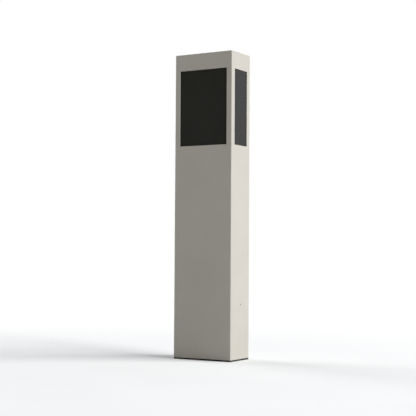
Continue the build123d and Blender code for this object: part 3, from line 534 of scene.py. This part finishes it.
def rating_plate():
    """Blank metal plate with a pressed border and a rivet at each end."""
    z, half_w, half_h, thick = 285.0, 34.0, 17.0, 0.6
    border_x, border_z, line, rivet_x = 25.0, 13.5, 0.8, 29.5
    face_y = REAR_Y + thick
    raised_y = (face_y - 0.1, face_y + 0.3)
    bm = bmesh.new()
    slab(bm, around(0, half_w), (REAR_Y, face_y), around(z, half_h), 0.25)
    for low in (z - border_z, z + border_z - line):
        slab(bm, around(0, border_x), raised_y, (low, low + line), 0.15)
    for low in (-border_x - line, border_x):
        slab(bm, (low, low + line), raised_y, around(z, border_z), 0.15)
    for x in (-rivet_x, rivet_x):
        capped(bm, (x, face_y - 0.2, z), (0, 1, 0), [(1.8, 0.0), (1.8, 0.5), (1.2, 1.0), (0.4, 1.2)], 20)
    place("rating_plate", bm, "rear_door", "stainless", EXTRA["plate"])


def document_pocket():
    """Open-topped wallet on the inside of the service door."""
    x_half, z0, z1, depth, wall = 74.0, 470.0, 640.0, 14.0, 1.6
    front_drop, side_drop = 55.0, 30.0
    y0, y1 = DOOR_IN_Y - depth, DOOR_IN_Y - wall
    bm = bmesh.new()
    slab(bm, (-x_half, x_half), (y1, DOOR_IN_Y), (z0, z1), 0.4)
    slab(bm, (-x_half, x_half), (y0, y0 + wall), (z0, z1 - front_drop), 0.4)
    slab(bm, (-x_half, x_half), (y0, y1), (z0, z0 + wall), 0.4)
    for x in ((-x_half, -x_half + wall), (x_half - wall, x_half)):
        slab(bm, x, (y0, y1), (z0, z1 - side_drop), 0.4)
    for x in range(-50, 51, 25):
        slab(bm, around(x, 1.2), (y0 - 0.8, y0 + 0.4), (z0 + 12, z1 - front_drop - 12), 0.3)
    place("document_pocket", bm, "rear_door", "black_moulding")


lock_escutcheon()
for level, vent_bottom in VENTS:
    vent_screen(level, vent_bottom)
rating_plate()
document_pocket()


# ---- charging bay details -----------------------------------------------
def bay_lamp(name, side):
    """Light strip under the bay's ceiling, in a clip-in bezel."""
    top, ribs, pitch = BAY_CEILING_Z, 18, 3.1
    bm = bmesh.new()
    slab(bm, mirrored(side, 58, 122), (-13, 2), (top - 3.6, top), 0.5)
    place(f"bay_lamp_bezel_{name}", bm, "root", "black_moulding")
    bm = bmesh.new()
    slab(bm, mirrored(side, 61, 119), (-10, -1), (top - 5.4, top - 3), 0.9)
    for i in range(ribs):
        x = 64 + pitch * i
        slab(bm, mirrored(side, x, x + 1.2), (-9, -2), (top - 5.8, top - 5), 0.3)
    place(f"bay_lamp_lens_{name}", bm, "root", "light_guide")


def socket_bezel(name, side):
    """Raised lip round the outlet with three guide ribs, on the flange."""
    inner, outer, height, rib_r, rib_half = 33.2, 37.5, 1.5, 39.2, 1.6
    profile = [(inner, -0.2), (outer, -0.2), (outer, 0.7)]
    profile += [(outer - 0.9, height), (inner + 1.2, height), (inner, 0.9)]
    bm = bmesh.new()
    looped(bm, (side * SOCKET_FACE_X, SOCKET_Y, SOCKET_Z), (side, 0, 0), profile, 64)
    for angle in (90, 210, 330):
        y = SOCKET_Y + rib_r * math.cos(math.radians(angle))
        z = SOCKET_Z + rib_r * math.sin(math.radians(angle))
        x = mirrored(side, SOCKET_FACE_X - 0.1, SOCKET_FACE_X + 1)
        slab(bm, x, around(y, rib_half), around(z, rib_half), 0.4)
    place(f"socket_bezel_{name}", bm, "root", "black_moulding")


def bay_catch(name, side):
    """Magnetic catch on the bay's front wall and its keeper on the door frame."""
    y, screw_x, screw_rise, keeper_x = BAY_FRONT_Y, 122, 7.5, 134.6
    bm = bmesh.new()
    slab(bm, mirrored(side, 117, 134.2), (y + 0.1, y + 6.5), around(SOCKET_Z, 11), 0.6)
    for z in around(SOCKET_Z, screw_rise):
        capped(bm, (side * screw_x, y + 6.4, z), (0, 1, 0), [(1.7, 0.0), (1.7, 0.5), (1.1, 0.9)], 20)
    place(f"bay_catch_{name}", bm, "root", "black_moulding")
    bm = bmesh.new()
    slab(bm, mirrored(side, keeper_x, keeper_x + 8), (y, y + 0.8), around(SOCKET_Z, 9), 0.2)
    slab(bm, mirrored(side, keeper_x, keeper_x + 0.8), (y + 0.6, y + 5), around(SOCKET_Z, 9), 0.2)
    place(f"bay_keeper_{name}", bm, f"bay_door_{name}", "stainless")


def bay_label(name, side):
    """Blank framed label on the back wall above the outlet."""
    z, half_w, half_h, inset, line = 1239.0, 27.5, 17.0, 1.5, 0.8
    line_y = around(SOCKET_Y, half_w - inset)
    bm = bmesh.new()
    slab(bm, mirrored(side, BAY_BACK_X, BAY_BACK_X + 0.5), around(SOCKET_Y, half_w), around(z, half_h), 0.15)
    for low in (z - half_h + inset, z + half_h - inset - line):
        slab(bm, mirrored(side, BAY_BACK_X + 0.4, BAY_BACK_X + 0.8), line_y, (low, low + line), 0.1)
    place(f"bay_label_{name}", bm, "root", "device_grey", EXTRA["label"])


def bay_drain(name, side):
    """Slotted drain cover in the bay's floor."""
    x0, x1, y0, y1, border, bars, pitch = 84, 124, -32, 20, 3, 9, 5
    z0, z1 = BAY_FLOOR_Z, BAY_FLOOR_Z + 1.6
    bm = bmesh.new()
    for y in ((y0, y0 + border), (y1 - border, y1)):
        slab(bm, mirrored(side, x0, x1), y, (z0, z1))
    for low, high in ((x0, x0 + border), (x1 - border, x1)):
        slab(bm, mirrored(side, low, high), (y0 + border, y1 - border), (z0, z1))
    for i in range(bars):
        y = y0 + border + 2.5 + i * pitch
        slab(bm, mirrored(side, x0 + border, x1 - border), (y, y + 2), (z0, z1 - 0.4))
    place(f"bay_drain_{name}", bm, "root", "black_moulding")


for side_name, sign in SIDES:
    bay_lamp(side_name, sign)
    socket_bezel(side_name, sign)
    bay_catch(side_name, sign)
    bay_label(side_name, sign)
    bay_drain(side_name, sign)


# ---- electrical cabinet details -----------------------------------------
WIRE_COLOURS = ("wire_brown", "wire_black", "wire_grey", "wire_blue")
LAMP_PROFILE = [(1.6, 0.0), (1.6, 0.4), (1.1, 1.0), (0.4, 1.2)]
TERMINAL_RISE = 35.0     # the clamp screws stand this far above and below the centre

# name, centre x, width, centre z, poles, pitch of the poles
DEVICES = [
    ("isolator", 0.0, WIDE_W, SWITCHING_Z, 4, WIDE_PITCH),
    ("power_supply", SUPPLY_X, METER_W, SWITCHING_Z, 3, METER_PITCH),
]
PAIRED = (
    ("breaker", BREAKER_X, WIDE_W, PROTECTION_Z, 4, WIDE_PITCH),
    ("contactor", CONTACTOR_X, CONTACTOR_W, METERING_Z, 4, CONTACTOR_PITCH),
    ("meter", METER_X, METER_W, METERING_Z, 3, METER_PITCH),
)
for kind, x, width, z, count, pitch in PAIRED:
    DEVICES += [(f"{kind}_{name}", side * x, width, z, count, pitch) for name, side in SIDES]


def poles(centre, pitch, count=4):
    return [centre + (i - (count - 1) / 2) * pitch for i in range(count)]


def terminal_screws(name, x, z, count, pitch):
    """Cross-slotted clamp screws sunk in the terminal holes."""
    seat_y, slot_y = STEP_Y - 5.9, (STEP_Y - 3.4, STEP_Y - 2.9)
    long, thin = 2.0, 0.35
    bm = bmesh.new()
    for px in poles(x, pitch, count):
        for pz in around(z, TERMINAL_RISE):
            capped(bm, (px, seat_y, pz), (0, 1, 0), [(2.7, 0.0), (2.7, 2.2), (2.3, 2.7)], 20)
            slab(bm, around(px, long), slot_y, around(pz, thin), 0.1)
            slab(bm, around(px, thin), slot_y, around(pz, long), 0.1)
    place(f"{name}_clamp_screws", bm, "root", "stainless")


def label_strip(name, x, width, z):
    """Blank marker strip in a holder across the top of a device's nose."""
    half, z0, z1 = width / 2 - 4, z + 16.5, z + 21.5
    bm = bmesh.new()
    slab(bm, around(x, half), (NOSE_Y - 0.1, NOSE_Y + 0.4), (z0, z1), 0.15)
    for end in ((x - half - 1, x - half), (x + half, x + half + 1)):
        slab(bm, end, (NOSE_Y - 0.1, NOSE_Y + 0.8), (z0 - 0.5, z1 + 0.5), 0.2)
    place(f"{name}_label", bm, "root", "device_grey", EXTRA["label"])


def module_grooves(name, x, width, z, count):
    """Seams where the modules of a multi-pole device meet, as thin dark inlays."""
    nose_half, outer_half = 23, 44
    bm = bmesh.new()
    for i in range(1, count):
        px = x - width / 2 + i * width / count
        for low, high in ((z + nose_half, z + outer_half), (z - outer_half, z - nose_half)):
            slab(bm, around(px, 0.25), (STEP_Y - 0.3, STEP_Y + 0.1), (low, high), 0.05)
    place(f"{name}_seams", bm, "root", "black_moulding")


def meter_display(name, x, z):
    """Segment display and its pulse lamp; the digits are plain bars of the number 8."""
    bm = bmesh.new()
    slab(bm, around(x, 19.4), (NOSE_Y - 1.3, NOSE_Y - 0.7), (z - 3.4, z + 13.4), 0.2)
    place(f"{name}_lcd", bm, "root", "light_guide", EXTRA["lcd"])
    digits, pitch, foot_z, bar, thin = 6, 5.4, z + 0.4, 4.6, 0.25
    y = (NOSE_Y - 0.8, NOSE_Y - 0.6)
    bm = bmesh.new()
    for i in range(digits):
        px = x - 14.5 + pitch * i
        for row in range(3):
            slab(bm, around(px, 1.2), y, around(foot_z + row * bar, thin), 0.05)
        for bar_x in around(px, 1.4):
            for row in range(2):
                slab(bm, around(bar_x, thin), y, around(foot_z + (row + 0.5) * bar, 1.8), 0.05)
    place(f"{name}_digits", bm, "root", "black_moulding")
    bm = bmesh.new()
    capped(bm, (x + 15, NOSE_Y - 0.2, z - 10), (0, 1, 0), LAMP_PROFILE, 20)
    place(f"{name}_pulse_lamp", bm, "root", "light_guide", EXTRA["lamp_red"])


def contactor_flag(name, x, z):
    """Sliding flag in the contactor's window."""
    bm = bmesh.new()
    slab(bm, around(x, 7.2), (NOSE_Y - 1.1, NOSE_Y - 0.6), (z - 5.2, z + 9.2), 0.2)
    slab(bm, around(x, 5.0), (NOSE_Y - 0.7, NOSE_Y + 0.1), (z - 3.4, z - 0.6), 0.3)
    place(f"{name}_flag", bm, "root", "black_moulding")


def breaker_windows(name, x, z):
    """Two small indicator windows beside the toggle."""
    for part, offset, finish in (("closed", -13.0, "lamp_red"), ("healthy", 13.0, "lamp_green")):
        bm = bmesh.new()
        slab(bm, around(x + offset, 3.2), (NOSE_Y - 0.2, NOSE_Y + 0.3), around(z, 2.2), 0.25)
        place(f"{name}_{part}_window", bm, "root", "light_guide", EXTRA[finish])


def isolator_scale():
    """Ring under the handle with a mark for each of its two positions."""
    inner, outer, z = 17.6, 20.6, SWITCHING_Z
    mark_y = (NOSE_Y + 0.1, NOSE_Y + 0.5)
    mark = (inner + 0.3, outer - 0.2)
    bm = bmesh.new()
    looped(bm, (0, NOSE_Y, z), (0, 1, 0), [(inner, -0.1), (outer, -0.1), (outer, 0.2), (inner, 0.2)], 64)
    slab(bm, around(0, 0.6), mark_y, (z + mark[0], z + mark[1]), 0.1)
    slab(bm, mark, mark_y, around(z, 0.6), 0.1)
    place("isolator_scale", bm, "root", "device_grey", EXTRA["label"])


def supply_lamp():
    """Power lamp of the control circuits' supply."""
    bm = bmesh.new()
    capped(bm, (SUPPLY_X - 15, NOSE_Y - 0.2, SWITCHING_Z + 18), (0, 1, 0), LAMP_PROFILE, 20)
    place("power_supply_lamp", bm, "root", "light_guide", EXTRA["lamp_green"])


def wire_duct(name, side):
    """Slotted wiring duct beside the rails: back, finger walls and a snap-on lid."""
    x0, x1, y0, y1 = 122.5, 143.5, -58.0, -21.0
    z0, z1 = lowest("mounting_plate", Z) + 6, highest("mounting_plate", Z) - 6
    wall, lid, root_y, fingers, pitch, finger_w = 1.4, 0.8, -46.0, 42, 12.1, 7.6
    bm = bmesh.new()
    slab(bm, mirrored(side, x0, x1), (y0, y0 + wall), (z0, z1), 0.3)
    for low, high in ((x0, x0 + wall), (x1 - wall, x1)):
        x = mirrored(side, low, high)
        slab(bm, x, (y0 + wall, root_y), (z0, z1), 0.2)
        for i in range(fingers):
            z = z0 + 1 + pitch * i
            slab(bm, x, (root_y, y1), (z, z + finger_w), 0.3)
    slab(bm, mirrored(side, x0 - lid, x1 + lid), (y1 - 1.2, y1 + 0.4), (z0, z1), 0.3)
    for low, high in ((x0 - lid, x0), (x1, x1 + lid)):
        slab(bm, mirrored(side, low, high), (y1 - 7, y1 - 1.2), (z0, z1), 0.2)
    place(f"wire_duct_{name}", bm, "root", "device_grey", EXTRA["duct"])


def feeder_set():
    """Single-core wires in phase colours with a ferrule at each end, in place of the CAD's plain ones."""
    layer, run = 7.0, 22.0
    supply_z = (SWITCHING_Z + DEVICE_HALF_H, PROTECTION_Z - DEVICE_HALF_H)
    load_z = (PROTECTION_Z + DEVICE_HALF_H, METERING_Z - DEVICE_HALF_H)
    pieces, ends = [], []
    for name, side in SIDES:
        isolator = poles(0, WIDE_PITCH)
        breaker = poles(side * BREAKER_X, WIDE_PITCH)
        contactor = poles(side * CONTACTOR_X, CONTACTOR_PITCH)
        for role, lower, upper, (z0, z1), y in (
            ("supply", isolator, breaker, supply_z, WIRE_Y + side * layer),
            ("load", breaker, contactor, load_z, WIRE_Y),
        ):
            for x0, x1, finish in zip(lower, upper, WIRE_COLOURS):
                route = [(x0, y, z0), (x0, y, z0 + run), (x1, y, z1 - run), (x1, y, z1)]
                label = f"{role}_{finish}_{name}"
                pieces.append(lead(label, route, WIRE_R, "root", EXTRA[finish]))
                ends += [(x0, y, z0, 1), (x1, y, z1, -1)]
    sleeve = [(2.05, 0.0), (2.9, 0.0), (2.9, 1.0), (2.6, 6.5), (2.05, 7.5)]
    bm = bmesh.new()
    for x, y, z, way in ends:
        looped(bm, (x, y, z), (0, 0, way), sleeve, 20)
    ferrules = place("wire_ferrules", bm, "root", "cable_sheath", EXTRA["wire_grey"])
    for piece in pieces + [ferrules]:
        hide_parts("feeder_wires")


def control_lead():
    """Lead from the control board down the side of the plate to the power supply."""
    supply_x = SUPPLY_X + METER_PITCH
    supply_z = SWITCHING_Z + DEVICE_HALF_H
    route = [
        (70, -59.5, 1008), (72, -52, 985), (105, -44, 965), (112, -44, 930), (112, -42, 760),
        (112, -40, 640), (108, -34, 600), (supply_x + 2, WIRE_Y, supply_z + 25),
        (supply_x, WIRE_Y, supply_z + 7), (supply_x, WIRE_Y, supply_z - 2),
    ]
    lead("control_lead", route, 2.4, "root", EXTRA["wire_black"])


def cable_collar(name, side):
    """Ribbed strain collar where the charge cable leaves the contactor."""
    bore, rim, root, crest, ribs, pitch = 5.7, 8.2, 7.2, 7.7, 4, 2.6
    profile = [(bore, 0.0), (rim, 0.0), (rim, 3.0)]
    for i in range(ribs):
        z = 3.4 + pitch * i
        profile += [(root, z), (crest, z + 0.6), (crest, z + 1.4), (root, z + 2.0)]
    profile += [(6.2, 14.5), (bore, 14.5)]
    bm = bmesh.new()
    looped(bm, (side * CONTACTOR_X, WIRE_Y, METERING_Z + DEVICE_HALF_H), (0, 0, 1), profile, 40)
    place(f"cable_collar_{name}", bm, "root", "black_seal")


for label, x, width, z, count, pitch in DEVICES:
    terminal_screws(label, x, z, count, pitch)
    label_strip(label, x, width, z)
    module_grooves(label, x, width, z, count)
for side_name, sign in SIDES:
    meter_display(f"meter_{side_name}", sign * METER_X, METERING_Z)
    contactor_flag(f"contactor_{side_name}", sign * CONTACTOR_X, METERING_Z)
    breaker_windows(f"breaker_{side_name}", sign * BREAKER_X, PROTECTION_Z)
    wire_duct(side_name, sign)
    cable_collar(side_name, sign)
isolator_scale()
supply_lamp()
feeder_set()
control_lead()


# ---- studio -------------------------------------------------------------
FLOOR_SIZE = 60.0
WHITE_CENTRE = (0.0, -1.2, 0.0)          # the floor whitens with distance from here
WHITE_START, WHITE_FULL = 1.5, 3.6
FILL_COLOUR = (0.93, 0.98, 1.09)
FILL_FRONT, FILL_BACK = 0.015, 0.38

# name, place, target, size, watts, tint
LAMPS = (
    ("key", (21.7, 3.2, 14.5), (0, 0, 0.5), (25.0, 10.0), 9210, (0.98, 0.995, 1.02)),
    ("left_fill", (-16.0, 2.0, 11.0), (0, 0, 0), (10.0, 6.0), 1530, (0.98, 1.0, 1.03)),
)


def make_floor():
    """Pale floor that turns into plain white with distance from the post."""
    bpy.ops.mesh.primitive_grid_add(x_subdivisions=8, y_subdivisions=8, size=FLOOR_SIZE)
    floor = bpy.context.object
    floor.name = "studio_floor"
    s = Surface("studio_floor", roughness=0.9, specular=0.1)
    near = s.mix(s.ramp(s.noise(2.2, 4), 0.3, 0.7), (0.905, 0.897, 0.868), (0.925, 0.917, 0.888))
    distance = s.node("ShaderNodeVectorMath", operation="DISTANCE")
    s.join(s.coords, distance.inputs[0])
    distance.inputs[1].default_value = WHITE_CENTRE
    white = s.ramp(distance.outputs["Value"], WHITE_START, WHITE_FULL)
    s.colour(s.mix(white, near, (0.0, 0.0, 0.0)))
    s.shader.inputs["Emission Color"].default_value = (1, 1, 1, 1)
    s.join(white, s.shader.inputs["Emission Strength"])
    floor.data.materials.append(s.mat)


def area_light(name, spot, target, size, watts, tint):
    data = bpy.data.lights.new(name, "AREA")
    data.shape = "RECTANGLE"
    data.size, data.size_y = size
    data.energy = watts
    data.color = tint
    lamp = bpy.data.objects.new(name, data)
    scene.collection.objects.link(lamp)
    lamp.location = spot
    lamp.rotation_euler = (Vector(target) - Vector(spot)).to_track_quat("-Z", "Y").to_euler()


def make_world():
    """Plain white to the eye; as a light it is dim in front of the post and brighter behind it."""
    world = bpy.data.worlds.new("studio")
    scene.world = world
    world.use_nodes = True
    nodes, links = world.node_tree.nodes, world.node_tree.links
    nodes.clear()
    path = nodes.new("ShaderNodeLightPath")
    seen = nodes.new("ShaderNodeBackground")
    seen.inputs["Strength"].default_value = 1.0
    seen.inputs["Color"].default_value = (1, 1, 1, 1)
    fill = nodes.new("ShaderNodeBackground")
    fill.inputs["Color"].default_value = (*FILL_COLOUR, 1)
    split = nodes.new("ShaderNodeSeparateXYZ")
    links.new(nodes.new("ShaderNodeTexCoord").outputs["Generated"], split.inputs[0])
    shade = nodes.new("ShaderNodeMapRange")
    for key, number in (("From Min", -0.5), ("From Max", 0.6), ("To Min", FILL_FRONT), ("To Max", FILL_BACK)):
        shade.inputs[key].default_value = number
    links.new(split.outputs["Y"], shade.inputs["Value"])
    links.new(shade.outputs["Result"], fill.inputs["Strength"])
    mix = nodes.new("ShaderNodeMixShader")
    out = nodes.new("ShaderNodeOutputWorld")
    links.new(path.outputs["Is Camera Ray"], mix.inputs[0])
    links.new(fill.outputs[0], mix.inputs[1])
    links.new(seen.outputs[0], mix.inputs[2])
    links.new(mix.outputs[0], out.inputs[0])


make_floor()
make_world()
for lamp in LAMPS:
    area_light(*lamp)
